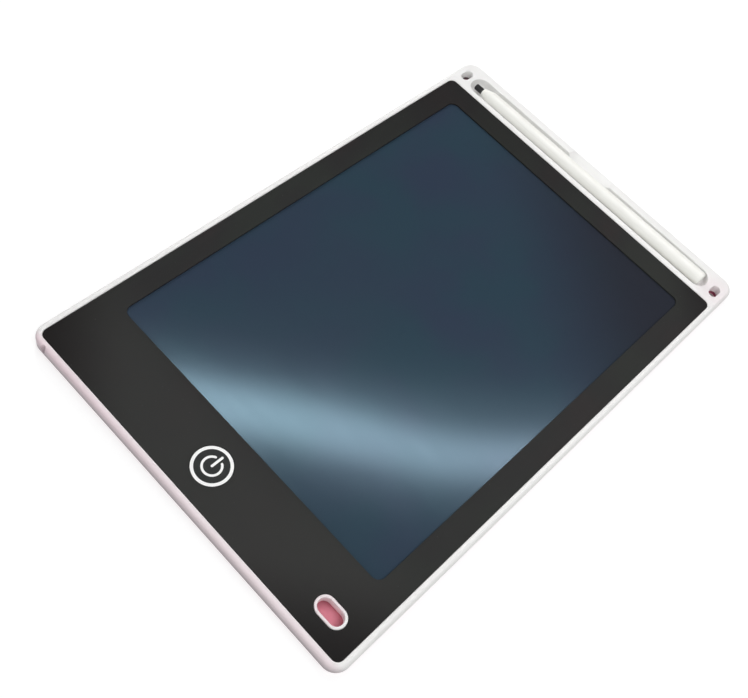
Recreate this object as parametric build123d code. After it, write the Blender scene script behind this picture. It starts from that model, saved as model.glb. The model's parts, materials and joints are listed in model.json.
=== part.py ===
from build123d import *
import math
import os

os.makedirs("parts", exist_ok=True)

# Writing tablet with a pressure-sensitive liquid-crystal screen, 8.5 inch size, in millimetres.
# +Z points out of the screen, +Y towards the stylus trough, and the origin is the middle of the back face.

# Case: a white front frame closed by a thin back cover
case_width = 146.0
case_length = 221.4
case_thickness = 5.0
case_corner = 5.5
cover_thickness = 0.8
skirt_wall = 1.5
face_edge_round = 1.4
back_edge_round = 0.5
seam_step = 0.12
rim_round = 0.3

# Bezel panel and its window
panel_border = 2.5
panel_head_border = 15.9
panel_thickness = 0.6
panel_corner = 2.5
panel_drop = 0.2
panel_gap = 0.1
panel_edge_round = 0.12
window_corner = 3.0
window_side = 9.0
window_head = 9.3
window_foot = 26.2
bezel_tape_thickness = 0.1
bezel_tape_inset = 0.6

# Screen stack, from the front film down
front_film_thickness = 0.15
crystal_thickness = 0.05
back_film_thickness = 0.15
screen_tape_thickness = 0.05
screen_overlap = 3.0
crystal_inset = 1.5
screen_gap = 0.25
screen_tape_width = 4.0
deck_under_screen = 0.8

# Stylus trough, finger notch, lanyard eyes and gate notch
trough_end_distance = 9.0
trough_width = 9.3
trough_shift = -0.4
trough_outer_strip = 4.0
trough_floor_thickness = 0.45
trough_floor_round = 1.2
trough_near_wall = 1.2
notch_width = 22.7
notch_depth = 2.1
notch_outer_depth = 0.35
notch_corner = 5.0
notch_shift = -2.0
notch_lip_round = 0.25
lanyard_width = 3.5
lanyard_length = 5.9
lanyard_side_distance = 4.9
lanyard_shift = -0.3
lanyard_neck = 3.5
collar_wall = 0.9
collar_gap = 0.1
gate_notch_radius = 1.1
gate_notch_corner_distance = 7.5
gate_notch_length = 3.0

# Stylus
stylus_radius = 3.0
stylus_rest_gap = 0.05
stylus_skew = 0.45
nib_end_gap = 2.4
tail_end_gap = 2.3
nib_length = 4.1
nib_radius = 1.3
nib_tang_radius = 0.9
nib_tang_length = 6.0
nib_tip_round = 0.5
cone_length = 4.5
cone_mouth_radius = 1.7
cone_mouth_round = 0.25
cone_shoulder_round = 4.0
stylus_bore_radius = 2.1
stylus_bore_front = 9.0
tail_plug_flange = 0.9
tail_plug_depth = 5.0
tail_edge_round = 0.5
tail_seam_step = 0.12

# Erase button and its printed mark
key_front_distance = 15.0
key_radius = 7.0
key_gap = 0.12
key_flange = 0.7
key_flange_thickness = 0.35
key_travel = 0.3
key_overtravel = 0.1
key_stem_radius = 1.8
key_well_gap = 0.3
key_stem_hole_radius = 4.0
key_edge_round = 0.15
print_thickness = 0.03
ring_radius = 6.31
ring_stroke = 1.06
mark_radius = 3.2
mark_stroke = 0.8
mark_gap_angle = 56.0
bar_foot = -0.4
bar_head = 4.7
bar_width = 0.85

# Lock window and slider
lock_side_distance = 15.0
lock_front_distance = 11.8
lock_collar_length = 11.8
lock_collar_width = 7.1
lock_collar_wall = 0.97
lock_travel = 2.0
slider_plate_thickness = 0.45
slider_gap = 0.05
slider_side_gap = 0.1
slider_lap = 0.7
slider_dish_margin = 0.1
slider_pad_wall = 0.5
slider_pad_floor = 0.4
slider_pad_recess = 0.1
ridge_count = 5
ridge_pitch = 1.5
ridge_width = 0.6
ridge_depth = 0.2
rail_wall = 0.8
rail_height = 0.8

# Circuit board
board_front_distance = 4.6
board_length = 16.0
board_cell_distance = 8.5
board_side_distance = 27.0
board_thickness = 0.6
board_stand = 0.3
board_pad_radius = 1.5
board_pin_radius = 0.6
board_pin_gap = 0.08
board_pin_rise = 0.5
board_pin_inset = 2.2
clamp_post_radius = 1.1
clamp_post_inset = 4.0

# Tactile switch under the erase button
switch_side = 5.2
switch_height = 1.3
switch_floor = 0.3
switch_lid = 0.2
switch_cavity_radius = 2.1
plunger_radius = 1.2
plunger_gap = 0.05
plunger_flange_radius = 1.7
plunger_flange_thickness = 0.3
plunger_rise = 0.65
dome_radius = 1.9
dome_height = 0.42
dome_sheet = 0.08

# Slide switch beside the lock slider
slide_switch_length = 6.6
slide_switch_width = 2.8
slide_switch_height = 1.0
slide_switch_wall = 0.2
slide_switch_inset = 0.1
slide_switch_offset = 2.8
knob_length = 1.2
knob_reach = 1.3
knob_height = 0.6
knob_root = 1.2
fork_gap = 0.1
fork_prong = 0.9
fork_thickness = 0.7
fork_bar_width = 1.4
fork_upright = 2.0

# Small parts on the board
chip_length = 4.4
chip_width = 3.0
chip_height = 0.8
chip_stand = 0.08
chip_leg_width = 0.3
chip_leg_reach = 0.7
chip_leg_thickness = 0.15
chip_leg_count = 4
chip_leg_pitch = 1.0
chip_side_offset = 14.0
capacitor_length = 1.6
capacitor_width = 0.8
capacitor_height = 0.8
resistor_length = 1.2
resistor_width = 0.65
resistor_height = 0.4
small_part_pitch = 2.6
capacitor_count = 4
resistor_count = 5
inductor_side = 3.0
inductor_height = 1.0
inductor_corner = 0.5
inductor_side_offset = 19.5

# Flex tail from the screen to the board
tail_width = 8.0
tail_thickness = 0.12
tail_lap = 3.0
tail_drop_gap = 1.6
tail_bend = 0.5
tail_foot = 2.0
tail_slot_margin = 0.5
tail_slot_length = 3.2
tail_board_inset = 24.0

# Coin cell and contacts
cell_radius = 10.0
cell_height = 1.6
cell_cap_radius = 8.7
cell_cap_height = 0.2
cell_side_distance = 35.0
cell_gap = 0.05
cell_well_margin = 0.6
cell_well_depth = 0.4
contact_thickness = 0.15
contact_width = 4.0
contact_reach = 9.0
contact_foot = 2.0
contact_spread = 4.5
contact_gap = 0.05
side_contact_width = 3.0

# Battery door and its screw
door_corner = 1.5
door_skin = 0.45
door_gap = 0.1
door_ledge = 0.8
door_peg_margin = 2.4
door_screw_margin = 9.5
door_side_margin = 0.2
ring_gap = 0.1
ring_wall = 0.8
ring_height = 1.0
ring_break = 7.0
door_boss_radius = 2.4
door_boss_height = 0.7
screw_inset = 3.6
screw_head_radius = 1.5
screw_head_height = 0.75
screw_head_recess = 0.1
screw_head_gap = 0.1
screw_slot_width = 0.4
screw_slot_depth = 0.35
screw_shank_radius = 0.85
screw_shank_gap = 0.05
screw_length = 2.75
screw_boss_wall = 1.35
screw_boss_gap = 0.1
peg_radius = 0.6
peg_length = 1.5
peg_spread = 8.0
peg_inset = 2.0
peg_gap = 0.04
peg_socket_wall = 0.9

# Ribs, lip and snap hooks of the back cover
rib_thickness = 0.8
rib_top_gap = 0.05
rib_columns = 4
rib_rows = 5
rib_pitch = 30.0
rib_margin = 3.0
hook_width = 6.0
hook_thickness = 0.8
hook_height = 1.6
hook_gap = 0.1
hook_bite = 0.3
hook_bite_height = 0.4
hook_pitch = 44.0
hook_count = 4
hook_front_inset = 21.0

overrun = 1.0
touch = 0.001

# Levels above the back face
cover_top = cover_thickness
panel_top = case_thickness - panel_drop
panel_underside = panel_top - panel_thickness
deck_top = panel_underside - bezel_tape_thickness
front_film_under = deck_top - front_film_thickness
crystal_under = front_film_under - crystal_thickness
back_film_under = crystal_under - back_film_thickness
screen_floor = back_film_under - screen_tape_thickness
deck_underside = screen_floor - deck_under_screen
trough_floor = cover_top + trough_floor_thickness
collar_top = case_thickness - lanyard_neck
board_underside = cover_top + board_stand
board_top = board_underside + board_thickness
slider_underside = cover_top + slider_gap
slider_top = slider_underside + slider_plate_thickness
key_flange_under = deck_top - key_flange_thickness
key_well_floor = key_flange_under - key_travel - key_overtravel
cell_bottom = cover_top + cell_gap
cell_top = cell_bottom + cell_height
cell_well_top = deck_underside + cell_well_depth
lock_collar_bottom = slider_top + slider_gap
hook_bite_bottom = cover_top + hook_height - hook_bite_height
peg_top = cover_top + peg_length
socket_bottom = cover_top + door_boss_height + screw_boss_gap
screw_top = screw_head_recess + screw_head_height + screw_length
switch_top = board_top + switch_height
plunger_top = switch_top - switch_lid - plunger_gap + plunger_rise
above_face = case_thickness + overrun

# Places in plan
origin = (0, 0)
half_width = case_width / 2
half_length = case_length / 2
panel_width = case_width - 2 * panel_border
panel_length = case_length - panel_border - panel_head_border
panel_centre = (0, panel_border + panel_length / 2 - half_length)
panel_head = panel_centre[1] + panel_length / 2
window_width = panel_width - 2 * window_side
window_length = panel_length - window_head - window_foot
window_centre = (0, panel_head - window_head - window_length / 2)
screen_width = window_width + 2 * screen_overlap
screen_length = window_length + 2 * screen_overlap
screen_foot = window_centre[1] - screen_length / 2
trough_length = case_width - 2 * trough_end_distance
trough_centre = (trough_shift, half_length - trough_outer_strip - trough_width / 2)
cavity_head = trough_centre[1] - trough_width / 2 - trough_near_wall
cavity_foot = skirt_wall - half_length
key_centre = (0, key_front_distance - half_length)
lock_centre = (half_width - lock_side_distance, lock_front_distance - half_length)
cell_centre = (cell_side_distance - half_width, key_centre[1])
board_left = cell_centre[0] + cell_radius + board_cell_distance
board_right = half_width - board_side_distance
board_foot = board_front_distance - half_length
board_centre = ((board_left + board_right) / 2, board_foot + board_length / 2)
tail_x = board_right - tail_board_inset
ring_outer = cell_radius + ring_gap + ring_wall
door_rim = ring_outer + door_ledge + door_gap
door_left = cell_centre[0] - door_rim - door_screw_margin
door_right = cell_centre[0] + door_rim + door_peg_margin
door_length = door_right - door_left
door_width = 2 * (door_rim + door_side_margin)
door_centre = ((door_left + door_right) / 2, cell_centre[1])
screw_centre = (door_left + screw_inset, door_centre[1])
peg_x = door_right - peg_inset
lanyard_x = half_width - lanyard_side_distance
lanyard_y = trough_centre[1] + lanyard_shift
stylus_nose = trough_centre[0] - trough_length / 2 + nib_end_gap
stylus_tail = trough_centre[0] + trough_length / 2 - tail_end_gap
stylus_z = trough_floor + stylus_rest_gap + stylus_radius
door_plug_length = door_length - 2 * door_ledge
door_plug_width = door_width - 2 * door_ledge
lock_opening_length = lock_collar_length - 2 * lock_collar_wall
lock_opening_width = lock_collar_width - 2 * lock_collar_wall
slider_pad_length = lock_opening_length + 2 * (slider_dish_margin + slider_pad_wall)
slider_pad_width = lock_opening_width + 2 * (slider_dish_margin + slider_pad_wall)
slider_slot_left = lock_centre[0] - slider_pad_length / 2 - slider_side_gap - lock_travel
slider_slot_right = lock_centre[0] + slider_pad_length / 2 + slider_side_gap
slider_slot_width = slider_pad_width + 2 * slider_side_gap
slider_plate_left = slider_slot_left - slider_lap
slider_plate_right = slider_slot_right + slider_lap + lock_travel
slider_plate_width = slider_slot_width + 2 * slider_lap
slide_switch_x = board_right - slide_switch_length / 2 - slide_switch_inset
slide_switch_centre = (slide_switch_x, lock_centre[1] + slide_switch_offset)


def slab(width, length, corner, centre, bottom, top):
    """A plate with rounded corners between two levels."""
    outline = RectangleRounded(width, length, corner) if corner else Rectangle(width, length)
    return extrude(Pos(centre[0], centre[1], bottom) * outline, top - bottom)


def disc(radius, centre, bottom, top):
    """A round post between two levels."""
    return extrude(Pos(centre[0], centre[1], bottom) * Circle(radius), top - bottom)


def oblong(length, width, centre, bottom, top):
    """A plate with half-round ends, its long side along X."""
    return extrude(Pos(centre[0], centre[1], bottom) * SlotOverall(length, width), top - bottom)


def block(left, right, foot, head, bottom, top):
    """A square-edged block given by its six sides."""
    centre = ((left + right) / 2, (foot + head) / 2)
    return slab(right - left, head - foot, 0, centre, bottom, top)


def turned(profile):
    """A body turned about the X axis, from points given as (along X, radius)."""
    points = [(x, 0, radius) for x, radius in profile]
    face = make_face(Polyline(*points, close=True))
    return revolve(face, Axis.X)


def laid_in_trough(shape):
    """Lay a piece of the stylus in the trough, turned a little about its tail end."""
    lying = Pos(stylus_tail, trough_centre[1], stylus_z) * Rot(0, 0, stylus_skew)
    return lying * Pos(-stylus_tail, 0, 0) * shape


def rim_edges(before, tool, after, level):
    """The edges that a cut left in the flat face at this level."""
    return new_edges(before, tool, combined=after).filter_by_position(Axis.Z, level - touch, level + touch)


def soft_cut(body, tool, level, rounding):
    """Cut the tool out of the body and round the edge that the cut leaves at this level."""
    result = body - tool
    return fillet(rim_edges(body, tool, result, level), rounding)


def finger_notch():
    """A scoop in the wall outside the trough, its floor sloping down from the outer edge to the trough."""
    end_reach = math.sqrt(2 * notch_corner * notch_depth - notch_depth ** 2)
    width = notch_width + 2 * (notch_corner - end_reach)
    height = 4 * notch_corner
    run = trough_outer_strip + 2 * overrun
    scoop = extrude(Pos(0, height / 2) * RectangleRounded(width, height, notch_corner), run + overrun)
    slope = math.degrees(math.atan2(notch_depth - notch_outer_depth, trough_outer_strip))
    inner = trough_centre[1] + trough_width / 2
    foot = Pos(trough_centre[0] + notch_shift, inner, case_thickness - notch_depth)
    return foot * Rot(slope, 0, 0) * Pos(0, run, 0) * Rot(90, 0, 0) * scoop


def cut_finger_notch(frame):
    """Cut the scoop and round the lip where its floor meets the wall of the trough."""
    notch = finger_notch()
    result = frame - notch
    inner = trough_centre[1] + trough_width / 2
    lip = new_edges(frame, notch, combined=result).filter_by_position(Axis.Y, inner - touch, inner + touch)
    return fillet(lip, notch_lip_round)


def snap_places():
    """Place, facing angle and side of each snap hook, round the three plain sides of the case."""
    places = []
    for step in range(hook_count):
        along = (step - (hook_count - 1) / 2) * hook_pitch
        places.append((half_width - skirt_wall, along, 0))
        places.append((skirt_wall - half_width, along, 180))
    for side in (-1, 1):
        places.append((side * (half_width - hook_front_inset), cavity_foot, -90))
    return places


def snap_block(reach_in, reach_out, width, bottom, top):
    """A block that stands on a side wall's inner face, repeated at each snap hook's place."""
    shapes = []
    for x, y, angle in snap_places():
        shape = block(-reach_in, reach_out, -width / 2, width / 2, bottom, top)
        shapes.append(Pos(x, y, 0) * Rot(0, 0, angle) * shape)
    return shapes


def front_frame():
    frame = slab(case_width, case_length, case_corner, origin, cover_top, case_thickness)
    frame = fillet(frame.edges().group_by(Axis.Z)[-1], face_edge_round)
    frame -= gate_notch()
    well = (panel_width + 2 * panel_gap, panel_length + 2 * panel_gap, panel_corner + panel_gap)
    frame = soft_cut(frame, slab(*well, panel_centre, deck_top, above_face), case_thickness, rim_round)
    trough = oblong(trough_length, trough_width, trough_centre, trough_floor, above_face)
    trough = fillet(trough.edges().group_by(Axis.Z)[0], trough_floor_round)
    frame = soft_cut(frame, trough, case_thickness, rim_round)
    for side in (-1, 1):
        frame = soft_cut(frame, lanyard_eye(side, 0, -overrun, above_face), case_thickness, rim_round)
        frame -= lanyard_eye(side, collar_wall + collar_gap, -overrun, collar_top)
    frame = cut_finger_notch(frame)
    frame -= slab(screen_width + 2 * screen_gap, screen_length + 2 * screen_gap, 0,
                  window_centre, screen_floor, above_face)
    cavity_centre = (0, (cavity_head + cavity_foot) / 2)
    frame -= slab(case_width - 2 * skirt_wall, cavity_head - cavity_foot, case_corner - skirt_wall,
                  cavity_centre, -overrun, deck_underside)
    frame -= disc(cell_radius + cell_well_margin, cell_centre, -overrun, cell_well_top)
    frame -= disc(key_radius + key_flange + key_well_gap, key_centre, key_well_floor, above_face)
    frame -= disc(key_stem_hole_radius, key_centre, -overrun, above_face)
    frame -= tail_slot()
    frame += board_clamps()
    frame += lock_collar()
    frame -= oblong(lock_opening_length, lock_opening_width, lock_centre, -overrun, above_face)
    rims = frame.edges().filter_by_position(Axis.Z, case_thickness - touch, case_thickness + touch)
    collar_rims = [edge for edge in rims if near_lock(edge)]
    frame = fillet(collar_rims, rim_round)
    frame = add_door_sockets(frame)
    for recess in snap_block(overrun, hook_bite + hook_gap, hook_width + 2 * hook_gap,
                             hook_bite_bottom - hook_gap, hook_bite_bottom + hook_bite_height + hook_gap):
        frame -= recess
    return frame


def near_lock(edge):
    """True for an edge that lies round the lock window."""
    offset = edge.center() - Vector(lock_centre[0], lock_centre[1], case_thickness)
    return offset.length < lock_collar_length


def lock_collar():
    return oblong(lock_collar_length, lock_collar_width, lock_centre, lock_collar_bottom, case_thickness)


def lanyard_eye(side, wall, bottom, top):
    """An oblong beside the end of the trough, its long side along Y, wider by this wall all round."""
    outline = Rot(0, 0, 90) * SlotOverall(lanyard_length + 2 * wall, lanyard_width + 2 * wall)
    return extrude(Pos(side * lanyard_x, lanyard_y, bottom) * outline, top - bottom)


def gate_notch():
    """A small half-round notch in the front edge, where the mould's gate was cut away."""
    place = (gate_notch_corner_distance - half_width, -half_length)
    foot = case_thickness - gate_notch_length + gate_notch_radius
    groove = disc(gate_notch_radius, place, foot, above_face)
    return groove + Pos(place[0], place[1], foot) * Sphere(gate_notch_radius)


def tail_slot():
    """The slot through the deck that lets the screen's flex tail down to the board."""
    reach = tail_width / 2 + tail_slot_margin
    return block(tail_x - reach, tail_x + reach, screen_foot - screen_gap - tail_slot_length,
                 screen_foot + tail_lap + tail_slot_margin, -overrun, above_face)


def board_pin_places():
    """The two pins that locate the circuit board."""
    return [(board_left + board_pin_inset, board_foot + board_pin_inset),
            (board_right - board_pin_inset, board_foot + board_pin_inset)]


def board_clamp_places():
    """The posts of the front frame that hold the circuit board down."""
    head = board_foot + board_length - board_pin_inset
    return [(board_left + clamp_post_inset, head), (board_right - clamp_post_inset, head)]


def board_clamps():
    return [disc(clamp_post_radius, place, board_top, deck_underside + touch)
            for place in board_clamp_places()]


def peg_places():
    return [(peg_x, door_centre[1] + side * peg_spread) for side in (-1, 1)]


def add_door_sockets(frame):
    """The bosses under the deck that take the battery door's screw and its two pegs."""
    frame += disc(screw_shank_radius + screw_boss_wall, screw_centre, socket_bottom, deck_underside + touch)
    frame -= disc(screw_shank_radius + screw_shank_gap, screw_centre, -overrun, screw_top + screw_boss_gap)
    for place in peg_places():
        frame += disc(peg_radius + peg_socket_wall, place, cover_top, deck_underside + touch)
        frame -= disc(peg_radius + peg_gap, place, -overrun, peg_top + peg_gap)
    return frame


def rib_lattice():
    """Thin crossed ribs that hold the deck up behind the screen."""
    foot = screen_foot + rib_margin
    head = cavity_head - rib_margin
    top = deck_underside - rib_top_gap
    half = rib_thickness / 2
    shapes = []
    for column in range(rib_columns):
        x = (column - (rib_columns - 1) / 2) * rib_pitch
        shapes.append(block(x - half, x + half, foot, head, cover_top - touch, top))
    reach = half_width - skirt_wall - hook_gap - hook_thickness - rib_margin
    for row in range(rib_rows):
        y = (foot + head) / 2 + (row - (rib_rows - 1) / 2) * rib_pitch
        shapes.append(block(-reach, reach, y - half, y + half, cover_top - touch, top))
    return shapes


def back_cover():
    cover = slab(case_width - 2 * seam_step, case_length - 2 * seam_step, case_corner - seam_step,
                 origin, 0, cover_top)
    cover = fillet(cover.edges().group_by(Axis.Z)[0], back_edge_round)
    cover += rib_lattice()
    for side in (-1, 1):
        cover += lanyard_eye(side, collar_wall, cover_top - touch, collar_top - collar_gap)
        cover -= lanyard_eye(side, 0, -overrun, above_face)
    cover -= slab(door_length, door_width, door_corner, door_centre, -overrun, door_skin)
    cover -= slab(door_plug_length, door_plug_width, door_corner, door_centre, -overrun, above_face)
    slot_centre = ((slider_slot_left + slider_slot_right) / 2, lock_centre[1])
    slot_length = slider_slot_right - slider_slot_left
    cover -= oblong(slot_length, slider_slot_width, slot_centre, -overrun, above_face)
    rail_foot = slider_plate_width / 2 + slider_side_gap
    for side in (-1, 1):
        rail_centre = (slot_centre[0], lock_centre[1] + side * (rail_foot + rail_wall / 2))
        cover += slab(slot_length, rail_wall, 0, rail_centre, cover_top - touch, cover_top + rail_height)
    for place in board_pin_places():
        cover += disc(board_pad_radius, place, cover_top - touch, board_underside)
        cover += disc(board_pin_radius, place, cover_top - touch, board_top + board_pin_rise)
    for place in board_clamp_places():
        cover += disc(board_pad_radius, place, cover_top - touch, board_underside)
    for hook in snap_block(hook_gap + hook_thickness, -hook_gap, hook_width, cover_top - touch,
                           cover_top + hook_height):
        cover += hook
    for bite in snap_block(hook_gap + hook_thickness, hook_bite, hook_width, hook_bite_bottom,
                           hook_bite_bottom + hook_bite_height):
        cover += bite
    return cover


def panel_openings(sheet, margin, bottom):
    """The window, the key hole and the lock hole of a sheet that lies on the deck."""
    foot = bottom - overrun
    sheet -= slab(window_width + 2 * margin, window_length + 2 * margin, window_corner + margin,
                  window_centre, foot, above_face)
    sheet -= disc(key_radius + key_gap + margin, key_centre, foot, above_face)
    spread = 2 * (panel_gap + margin)
    lock_hole = (lock_collar_length + spread, lock_collar_width + spread)
    return sheet - oblong(*lock_hole, lock_centre, foot, above_face)


def bezel_panel():
    sheet = slab(panel_width, panel_length, panel_corner, panel_centre, panel_underside, panel_top)
    sheet = panel_openings(sheet, 0, panel_underside)
    return fillet(sheet.edges().group_by(Axis.Z)[-1], panel_edge_round)


def bezel_tape():
    sheet = slab(panel_width - 2 * bezel_tape_inset, panel_length - 2 * bezel_tape_inset, panel_corner,
                 panel_centre, deck_top, panel_underside)
    sheet = panel_openings(sheet, bezel_tape_inset, deck_top)
    return sheet - disc(key_radius + key_flange + key_gap, key_centre, 0, above_face)


def screen_sheet(inset, bottom, top):
    return slab(screen_width - 2 * inset, screen_length - 2 * inset, 0, window_centre, bottom, top)


def screen_tape():
    tape = screen_sheet(0, screen_floor, back_film_under)
    return tape - screen_sheet(screen_tape_width, 0, above_face) - tail_slot()


def flex_tail():
    """A thin strip from under the screen, down through the deck and along to the board."""
    top = back_film_under - tail_thickness / 2
    rest = board_top + tail_thickness / 2
    drop_y = screen_foot - tail_drop_gap
    foot_y = board_foot + board_length
    start = (screen_foot + tail_lap, top)
    end = (foot_y - tail_foot, rest)
    path = FilletPolyline(start, (drop_y, top), (drop_y - touch, rest), end, radius=tail_bend)
    strip = trace(path, tail_thickness)
    return Pos(tail_x - tail_width / 2, 0, 0) * extrude(Plane.YZ * strip, tail_width)


def circuit_board():
    board = slab(board_right - board_left, board_length, 0, board_centre, board_underside, board_top)
    for place in board_pin_places():
        board -= disc(board_pin_radius + board_pin_gap, place, 0, above_face)
    return board


def tact_switch_body():
    body = slab(switch_side, switch_side, 0, key_centre, board_top, switch_top)
    body -= disc(switch_cavity_radius, key_centre, board_top + switch_floor, switch_top - switch_lid)
    return body - disc(plunger_radius + plunger_gap, key_centre, switch_top - switch_lid - touch, above_face)


def tact_plunger():
    flange_top = switch_top - switch_lid - plunger_gap
    flange = disc(plunger_flange_radius, key_centre, flange_top - plunger_flange_thickness, flange_top)
    return flange + disc(plunger_radius, key_centre, flange_top - plunger_flange_thickness, plunger_top)


def tact_dome():
    """A shallow snap dome of thin sheet on the floor of the switch."""
    floor = board_top + switch_floor
    outer = (dome_radius ** 2 + dome_height ** 2) / (2 * dome_height)
    shell = Sphere(outer) - Sphere(outer - dome_sheet)
    shell = Pos(key_centre[0], key_centre[1], floor + dome_height - outer) * shell
    return shell & disc(dome_radius, key_centre, floor, floor + dome_height + overrun)


def erase_button():
    key = disc(key_radius, key_centre, deck_top - touch, panel_top)
    key = fillet(key.edges().group_by(Axis.Z)[-1], key_edge_round)
    key += disc(key_radius + key_flange, key_centre, key_flange_under, deck_top)
    return key + disc(key_stem_radius, key_centre, plunger_top, key_flange_under + touch)


def button_ring_print():
    outer = disc(ring_radius + ring_stroke / 2, key_centre, panel_top, panel_top + print_thickness)
    return outer - disc(ring_radius - ring_stroke / 2, key_centre, 0, above_face)


def button_mark_print():
    """An open ring with a short bar through its gap, the usual power sign."""
    turn = 360.0 - mark_gap_angle
    arc = CenterArc((0, 0), mark_radius, 90 + mark_gap_angle / 2, turn)
    ring = trace(arc, mark_stroke)
    for end in (arc @ 0, arc @ 1):
        ring += Pos(end.X, end.Y) * Circle(mark_stroke / 2)
    bar = Pos(0, (bar_foot + bar_head) / 2) * Rot(0, 0, 90) * SlotOverall(bar_head - bar_foot, bar_width)
    mark = Compound(children=[Pos(key_centre[0], key_centre[1], panel_top) * shape for shape in (ring, bar)])
    return [extrude(shape, print_thickness) for shape in mark.faces()]


def lock_slider():
    """A plate with a dished thumb pad that fills the window, and a fork for the switch knob."""
    plate_centre = ((slider_plate_left + slider_plate_right) / 2, lock_centre[1])
    slider = slab(slider_plate_right - slider_plate_left, slider_plate_width, 0, plate_centre,
                  slider_underside, slider_top)
    slider += oblong(slider_pad_length, slider_pad_width, lock_centre, slider_pad_recess, slider_top)
    groove_length = slider_pad_width - 2 * slider_pad_wall
    slider -= oblong(slider_pad_length - 2 * slider_pad_wall, groove_length, lock_centre,
                     slider_pad_recess + slider_pad_floor, above_face)
    for step in range(ridge_count):
        x = lock_centre[0] + (step - (ridge_count - 1) / 2) * ridge_pitch
        slider -= slab(ridge_width, groove_length, 0, (x, lock_centre[1]), 0, slider_pad_recess + ridge_depth)
    return slider + lock_fork()


def knob_place():
    """Middle of the switch knob at rest, on the side of the switch that faces the slider's fork."""
    return (slide_switch_centre[0] + lock_travel / 2, slide_switch_centre[1] - slide_switch_width / 2)


def lock_fork():
    x, y = knob_place()
    bottom = board_top + fork_gap
    bar_head_y = y - knob_reach - fork_gap
    reach_left = x - knob_length / 2 - fork_gap - fork_prong
    top = bottom + fork_thickness
    bar_foot_y = bar_head_y - fork_bar_width
    upright_right = slider_plate_left + fork_upright
    fork = block(reach_left, upright_right, bar_foot_y, bar_head_y, bottom, top)
    fork += block(slider_plate_left, upright_right, bar_foot_y, bar_head_y, slider_underside, top)
    for side in (-1, 1):
        prong_x = x + side * (knob_length / 2 + fork_gap + fork_prong / 2)
        fork += block(prong_x - fork_prong / 2, prong_x + fork_prong / 2, bar_head_y - touch, y - fork_gap,
                      bottom, top)
    return fork


def slide_switch_body():
    x, y = slide_switch_centre
    top = board_top + slide_switch_height
    body = block(x - slide_switch_length / 2, x + slide_switch_length / 2, y - slide_switch_width / 2,
                 y + slide_switch_width / 2, board_top, top)
    reach = lock_travel / 2 + knob_length / 2 + fork_gap
    return body - block(x - reach, x + reach, y - slide_switch_width / 2 - overrun,
                        y - slide_switch_width / 2 + knob_root + fork_gap, board_top + slide_switch_wall,
                        top - slide_switch_wall)


def slide_switch_knob():
    x, y = knob_place()
    middle = board_top + slide_switch_height / 2
    return block(x - knob_length / 2, x + knob_length / 2, y - knob_reach, y + knob_root,
                 middle - knob_height / 2, middle + knob_height / 2)


def driver_chip():
    centre = (key_centre[0] + chip_side_offset, key_centre[1])
    bottom = board_top + chip_stand
    return slab(chip_length, chip_width, 0, centre, bottom, bottom + chip_height)


def chip_legs():
    """Two rows of flat legs along the long sides of the chip."""
    legs = []
    for row in (-1, 1):
        y = key_centre[1] + row * (chip_width + chip_leg_reach) / 2
        for step in range(chip_leg_count):
            x = key_centre[0] + chip_side_offset + (step - (chip_leg_count - 1) / 2) * chip_leg_pitch
            legs.append(slab(chip_leg_width, chip_leg_reach, 0, (x, y), board_top,
                             board_top + chip_leg_thickness))
    return legs


def small_parts(count, length, width, height, start):
    """A row of small parts along the board, each a separate solid."""
    x, y = start
    return [slab(length, width, 0, (x + step * small_part_pitch, y), board_top, board_top + height)
            for step in range(count)]


def coin_cell():
    can_top = cell_top - cell_cap_height
    return (disc(cell_radius, cell_centre, cell_bottom, can_top)
            + disc(cell_cap_radius, cell_centre, can_top, cell_top))


def top_contact():
    """A flat spring strip from the board over the top of the cell."""
    y = cell_centre[1] + contact_spread
    foot_x = board_left + contact_foot
    tip_x = foot_x - contact_foot - contact_reach
    strip_bottom = cell_top + contact_gap
    strip = block(tip_x, foot_x, y - contact_width / 2, y + contact_width / 2, strip_bottom,
                  strip_bottom + contact_thickness)
    stem = block(foot_x - contact_thickness, foot_x, y - contact_width / 2, y + contact_width / 2,
                 board_top, strip_bottom + touch)
    return strip + stem


def side_contact():
    """A spring strip from the board that stands against the side of the cell."""
    y = cell_centre[1] - contact_spread
    half = side_contact_width / 2
    reach = math.sqrt(cell_radius ** 2 - (contact_spread - half) ** 2)
    touch_x = cell_centre[0] + reach + contact_gap
    foot_x = board_left + contact_foot
    blade_bottom = cover_top + ring_height + contact_gap
    blade = block(touch_x, touch_x + contact_thickness, y - half, y + half, blade_bottom, cell_top)
    arm = block(touch_x, foot_x, y - half, y + half, board_top + contact_thickness,
                board_top + 2 * contact_thickness)
    foot = block(foot_x - contact_foot / 2, foot_x, y - half, y + half, board_top,
                 board_top + 2 * contact_thickness)
    return blade + arm + foot


def battery_door():
    """A screwed lid that carries the cell in a broken ring and plugs in with two pegs."""
    spread = 2 * door_gap
    corner = door_corner - door_gap
    skin = slab(door_length - spread, door_width - spread, corner, door_centre, 0, door_skin - door_gap)
    door = skin + slab(door_plug_length - spread, door_plug_width - spread, corner, door_centre, 0, cover_top)
    ring = disc(ring_outer, cell_centre, cover_top - touch, cover_top + ring_height)
    ring -= disc(cell_radius + ring_gap, cell_centre, cover_top - overrun, above_face)
    for angle in (0, 90):
        gap = slab(2 * (ring_outer + overrun), ring_break, 0, origin, cover_top - overrun, above_face)
        ring -= Pos(cell_centre[0], cell_centre[1], 0) * Rot(0, 0, angle) * gap
    door += ring
    door += disc(door_boss_radius, screw_centre, cover_top - touch, cover_top + door_boss_height)
    door -= disc(screw_head_radius + screw_head_gap, screw_centre, -overrun,
                 screw_head_recess + screw_head_height)
    door -= disc(screw_shank_radius + screw_shank_gap, screw_centre, -overrun, above_face)
    for place in peg_places():
        door += disc(peg_radius, place, cover_top - touch, peg_top)
    return door


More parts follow.
